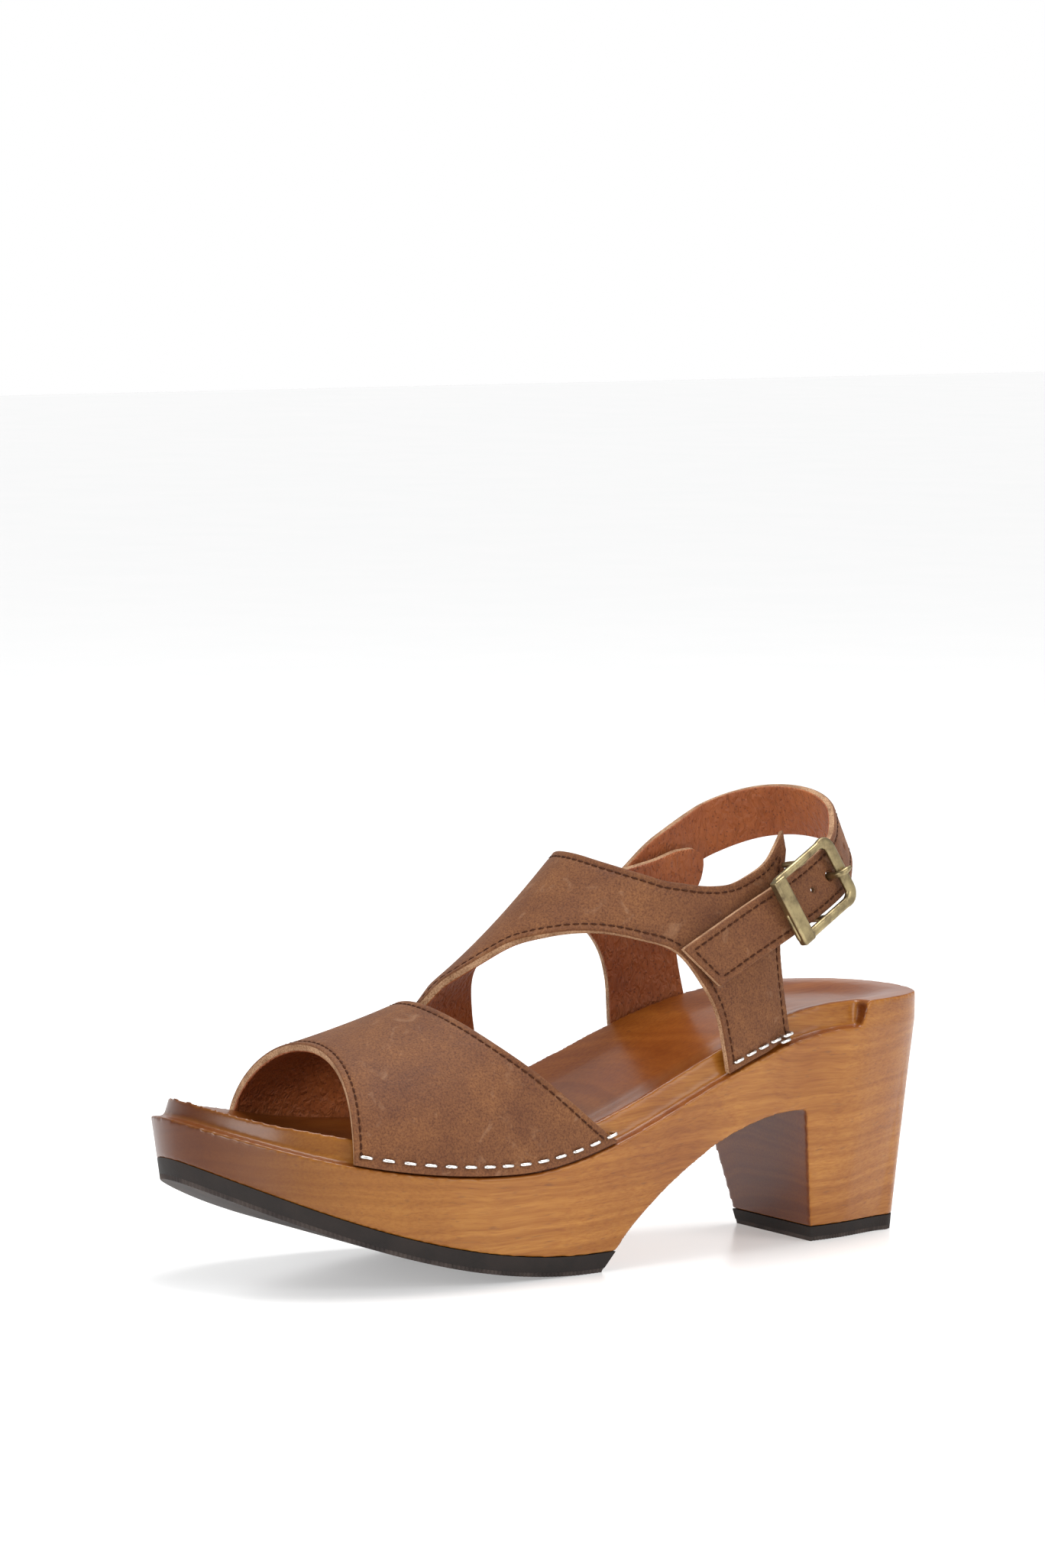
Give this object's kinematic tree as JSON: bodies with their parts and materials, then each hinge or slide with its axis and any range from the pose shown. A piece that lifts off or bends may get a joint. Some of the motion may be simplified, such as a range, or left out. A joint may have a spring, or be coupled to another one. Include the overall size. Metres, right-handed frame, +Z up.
{
  "type": "wooden clog sandal",
  "caption": "Left wooden-soled clog sandal with block heel, stapled leather vamp and instep piece, and an ankle strap closed by a prong buckle.",
  "frame": {"origin": "on the ground under the middle of the bounding box", "axes": "+Z up, -Y towards the toe, +Y towards the heel, +X towards the outer side of the foot, where the buckle is"},
  "size_m": [0.094, 0.2466, 0.1356],
  "materials": {
    "stained_wood": "honey-stained, satin",
    "black_rubber": "matt, ribbed edge",
    "brown_nubuck": "oiled nubuck, mottled",
    "tan_lining": "unpigmented pigskin, grained",
    "antique_brass": "antiqued, brushed",
    "bright_steel": "bright wire"
  },
  "bodies": {
    "shoe": {"wooden_sole": "stained_wood", "front_outsole": "black_rubber", "heel_top_lift": "black_rubber", "vamp_outer": "brown_nubuck", "vamp_lining": "tan_lining", "instep_quarter_outer": "brown_nubuck", "instep_quarter_lining": "tan_lining", "ankle_strap_outer": "brown_nubuck", "ankle_strap_lining": "tan_lining", "buckle_tab": "brown_nubuck", "staple_quarter_inner_01": "bright_steel", "staple_quarter_inner_02": "bright_steel", "staple_quarter_inner_03": "bright_steel", "staple_quarter_inner_04": "bright_steel", "staple_quarter_inner_05": "bright_steel", "staple_quarter_inner_06": "bright_steel", "staple_quarter_outer_01": "bright_steel", "staple_quarter_outer_02": "bright_steel", "staple_quarter_outer_03": "bright_steel", "staple_quarter_outer_04": "bright_steel", "staple_quarter_outer_05": "bright_steel", "staple_quarter_outer_06": "bright_steel", "staple_vamp_inner_01": "bright_steel", "staple_vamp_inner_02": "bright_steel", "staple_vamp_inner_03": "bright_steel", "staple_vamp_inner_04": "bright_steel", "staple_vamp_inner_05": "bright_steel", "staple_vamp_inner_06": "bright_steel", "staple_vamp_inner_07": "bright_steel", "staple_vamp_inner_08": "bright_steel", "staple_vamp_inner_09": "bright_steel", "staple_vamp_inner_10": "bright_steel", "staple_vamp_inner_11": "bright_steel", "staple_vamp_inner_12": "bright_steel", "staple_vamp_inner_13": "bright_steel", "staple_vamp_inner_14": "bright_steel", "staple_vamp_outer_01": "bright_steel", "staple_vamp_outer_02": "bright_steel", "staple_vamp_outer_03": "bright_steel", "staple_vamp_outer_04": "bright_steel", "staple_vamp_outer_05": "bright_steel", "staple_vamp_outer_06": "bright_steel", "staple_vamp_outer_07": "bright_steel", "staple_vamp_outer_08": "bright_steel", "staple_vamp_outer_09": "bright_steel", "staple_vamp_outer_10": "bright_steel", "staple_vamp_outer_11": "bright_steel", "staple_vamp_outer_12": "bright_steel", "staple_vamp_outer_13": "bright_steel", "staple_vamp_outer_14": "bright_steel"},
    "buckle": {"buckle_frame": "antique_brass", "buckle_pivot_bar": "antique_brass"},
    "prong": {"buckle_prong": "antique_brass"}
  },
  "joints": [
    {"name": "buckle_rock", "type": "hinge", "parent": "shoe", "child": "buckle", "pos_m": [0.03452, 0.06784, 0.10751], "axis": [-0.0832, -0.4399, 0.8942], "range_deg": [-2, 3]},
    {"name": "prong_lift", "type": "hinge", "parent": "buckle", "child": "prong", "pos_m": [0.03452, 0.06784, 0.10751], "axis": [0.0832, 0.4399, -0.8942], "range_deg": [0, 4]}
  ]
}
